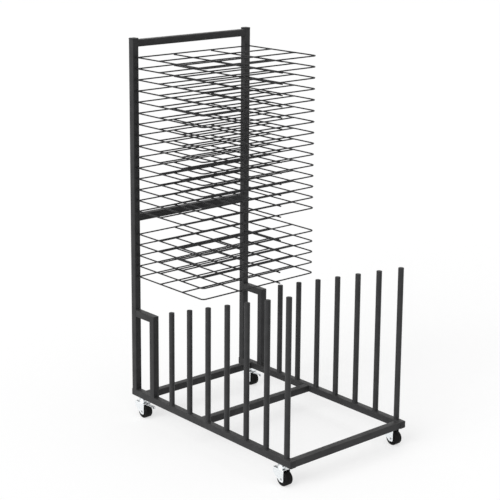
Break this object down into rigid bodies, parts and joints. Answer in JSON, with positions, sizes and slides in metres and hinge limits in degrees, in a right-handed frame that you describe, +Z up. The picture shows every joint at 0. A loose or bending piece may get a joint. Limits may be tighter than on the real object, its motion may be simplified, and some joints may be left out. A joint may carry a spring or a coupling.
{
  "type": "rolling art drying rack",
  "caption": "Rolling art drying rack: cantilevered pull-out wire shelves on two posts above a tube base with upright bars for standing canvases.",
  "frame": {"origin": "on the floor, under the middle of the rack's outline", "axes": "+Z up, +X from the left post to the right post, +Y to the rear, where the posts stand; the shelves reach forward along -Y"},
  "size_m": [0.564, 0.868, 1.41],
  "materials": {
    "powder_coat": "fine-textured satin black powder coat",
    "bar_powder_coat": "satin black powder coat on round tube",
    "shelf_wire": "semi-gloss black powder coat on wire",
    "black_plastic": "moulded black polyethylene",
    "fork_zinc": "bright zinc plate on pressed steel",
    "zinc_plate": "dull zinc plate",
    "steel_hardware": "plain steel",
    "wheel_black": "moulded black rubber"
  },
  "bodies": {
    "frame": {"left_post": "powder_coat", "right_post": "powder_coat", "top_crossbar": "powder_coat", "mid_crossbar": "powder_coat", "left_brace_arm": "powder_coat", "left_brace_leg": "powder_coat", "right_brace_arm": "powder_coat", "right_brace_leg": "powder_coat", "left_side_rail": "powder_coat", "right_side_rail": "powder_coat", "front_rail": "powder_coat", "middle_rail": "powder_coat", "rear_rail": "powder_coat", "left_bars": "bar_powder_coat", "right_bars": "bar_powder_coat", "bar_caps": "black_plastic", "post_caps": "black_plastic", "rail_end_plugs": "black_plastic", "weld_nuts": "steel_hardware", "caster_stems": "steel_hardware", "caster_races": "zinc_plate"},
    "shelf_01_body": {"shelf_01": "shelf_wire"},
    "shelf_02_body": {"shelf_02": "shelf_wire"},
    "shelf_03_body": {"shelf_03": "shelf_wire"},
    "shelf_04_body": {"shelf_04": "shelf_wire"},
    "shelf_05_body": {"shelf_05": "shelf_wire"},
    "shelf_06_body": {"shelf_06": "shelf_wire"},
    "shelf_07_body": {"shelf_07": "shelf_wire"},
    "shelf_08_body": {"shelf_08": "shelf_wire"},
    "shelf_09_body": {"shelf_09": "shelf_wire"},
    "shelf_10_body": {"shelf_10": "shelf_wire"},
    "shelf_11_body": {"shelf_11": "shelf_wire"},
    "shelf_12_body": {"shelf_12": "shelf_wire"},
    "shelf_13_body": {"shelf_13": "shelf_wire"},
    "shelf_14_body": {"shelf_14": "shelf_wire"},
    "shelf_15_body": {"shelf_15": "shelf_wire"},
    "shelf_16_body": {"shelf_16": "shelf_wire"},
    "shelf_17_body": {"shelf_17": "shelf_wire"},
    "shelf_18_body": {"shelf_18": "shelf_wire"},
    "shelf_19_body": {"shelf_19": "shelf_wire"},
    "shelf_20_body": {"shelf_20": "shelf_wire"},
    "fork_front_left": {"caster_fork_front_left": "fork_zinc", "caster_axle_front_left": "steel_hardware"},
    "wheel_front_left": {"caster_wheel_front_left": "wheel_black"},
    "fork_front_right": {"caster_fork_front_right": "fork_zinc", "caster_axle_front_right": "steel_hardware"},
    "wheel_front_right": {"caster_wheel_front_right": "wheel_black"},
    "fork_rear_left": {"caster_fork_rear_left": "fork_zinc", "caster_axle_rear_left": "steel_hardware"},
    "wheel_rear_left": {"caster_wheel_rear_left": "wheel_black"},
    "fork_rear_right": {"caster_fork_rear_right": "fork_zinc", "caster_axle_rear_right": "steel_hardware"},
    "wheel_rear_right": {"caster_wheel_rear_right": "wheel_black"},
    "pedal_rear_left": {"brake_pedal_rear_left": "zinc_plate"},
    "pedal_rear_right": {"brake_pedal_rear_right": "zinc_plate"}
  },
  "joints": [
    {"name": "shelf_01_pull", "type": "slide", "parent": "frame", "child": "shelf_01_body", "axis": [0, -1, 0], "range_m": [0, 0.03]},
    {"name": "shelf_02_pull", "type": "slide", "parent": "frame", "child": "shelf_02_body", "axis": [0, -1, 0], "range_m": [0, 0.03]},
    {"name": "shelf_03_pull", "type": "slide", "parent": "frame", "child": "shelf_03_body", "axis": [0, -1, 0], "range_m": [0, 0.03]},
    {"name": "shelf_04_pull", "type": "slide", "parent": "frame", "child": "shelf_04_body", "axis": [0, -1, 0], "range_m": [0, 0.03]},
    {"name": "shelf_05_pull", "type": "slide", "parent": "frame", "child": "shelf_05_body", "axis": [0, -1, 0], "range_m": [0, 0.03]},
    {"name": "shelf_06_pull", "type": "slide", "parent": "frame", "child": "shelf_06_body", "axis": [0, -1, 0], "range_m": [0, 0.03]},
    {"name": "shelf_07_pull", "type": "slide", "parent": "frame", "child": "shelf_07_body", "axis": [0, -1, 0], "range_m": [0, 0.03]},
    {"name": "shelf_08_pull", "type": "slide", "parent": "frame", "child": "shelf_08_body", "axis": [0, -1, 0], "range_m": [0, 0.03]},
    {"name": "shelf_09_pull", "type": "slide", "parent": "frame", "child": "shelf_09_body", "axis": [0, -1, 0], "range_m": [0, 0.03]},
    {"name": "shelf_10_pull", "type": "slide", "parent": "frame", "child": "shelf_10_body", "axis": [0, -1, 0], "range_m": [0, 0.03]},
    {"name": "shelf_11_pull", "type": "slide", "parent": "frame", "child": "shelf_11_body", "axis": [0, -1, 0], "range_m": [0, 0.03]},
    {"name": "shelf_12_pull", "type": "slide", "parent": "frame", "child": "shelf_12_body", "axis": [0, -1, 0], "range_m": [0, 0.03]},
    {"name": "shelf_13_pull", "type": "slide", "parent": "frame", "child": "shelf_13_body", "axis": [0, -1, 0], "range_m": [0, 0.03]},
    {"name": "shelf_14_pull", "type": "slide", "parent": "frame", "child": "shelf_14_body", "axis": [0, -1, 0], "range_m": [0, 0.03]},
    {"name": "shelf_15_pull", "type": "slide", "parent": "frame", "child": "shelf_15_body", "axis": [0, -1, 0], "range_m": [0, 0.03]},
    {"name": "shelf_16_pull", "type": "slide", "parent": "frame", "child": "shelf_16_body", "axis": [0, -1, 0], "range_m": [0, 0.03]},
    {"name": "shelf_17_pull", "type": "slide", "parent": "frame", "child": "shelf_17_body", "axis": [0, -1, 0], "range_m": [0, 0.03]},
    {"name": "shelf_18_pull", "type": "slide", "parent": "frame", "child": "shelf_18_body", "axis": [0, -1, 0], "range_m": [0, 0.03]},
    {"name": "shelf_19_pull", "type": "slide", "parent": "frame", "child": "shelf_19_body", "axis": [0, -1, 0], "range_m": [0, 0.03]},
    {"name": "shelf_20_pull", "type": "slide", "parent": "frame", "child": "shelf_20_body", "axis": [0, -1, 0], "range_m": [0, 0.03]},
    {"name": "front_left_swivel", "type": "hinge", "parent": "frame", "child": "fork_front_left", "pos_m": [-0.2635, -0.37775, 0.06], "axis": [0, 0, 1], "continuous": true},
    {"name": "front_left_roll", "type": "hinge", "parent": "fork_front_left", "child": "wheel_front_left", "pos_m": [-0.2635, -0.39325, 0.025], "axis": [1, 0, 0], "continuous": true},
    {"name": "front_right_swivel", "type": "hinge", "parent": "frame", "child": "fork_front_right", "pos_m": [0.2635, -0.37775, 0.06], "axis": [0, 0, 1], "continuous": true},
    {"name": "front_right_roll", "type": "hinge", "parent": "fork_front_right", "child": "wheel_front_right", "pos_m": [0.2635, -0.39325, 0.025], "axis": [1, 0, 0], "continuous": true},
    {"name": "rear_left_swivel", "type": "hinge", "parent": "frame", "child": "fork_rear_left", "pos_m": [-0.2635, 0.38275, 0.06], "axis": [0, 0, 1], "continuous": true},
    {"name": "rear_left_roll", "type": "hinge", "parent": "fork_rear_left", "child": "wheel_rear_left", "pos_m": [-0.2635, 0.36725, 0.025], "axis": [1, 0, 0], "continuous": true},
    {"name": "rear_right_swivel", "type": "hinge", "parent": "frame", "child": "fork_rear_right", "pos_m": [0.2635, 0.38275, 0.06], "axis": [0, 0, 1], "continuous": true},
    {"name": "rear_right_roll", "type": "hinge", "parent": "fork_rear_right", "child": "wheel_rear_right", "pos_m": [0.2635, 0.36725, 0.025], "axis": [1, 0, 0], "continuous": true},
    {"name": "rear_left_brake", "type": "hinge", "parent": "fork_rear_left", "child": "pedal_rear_left", "pos_m": [-0.2635, 0.36075, 0.0528], "axis": [1, 0, 0], "range_deg": [0, 16]},
    {"name": "rear_right_brake", "type": "hinge", "parent": "fork_rear_right", "child": "pedal_rear_right", "pos_m": [0.2635, 0.36075, 0.0528], "axis": [1, 0, 0], "range_deg": [0, 16]}
  ]
}
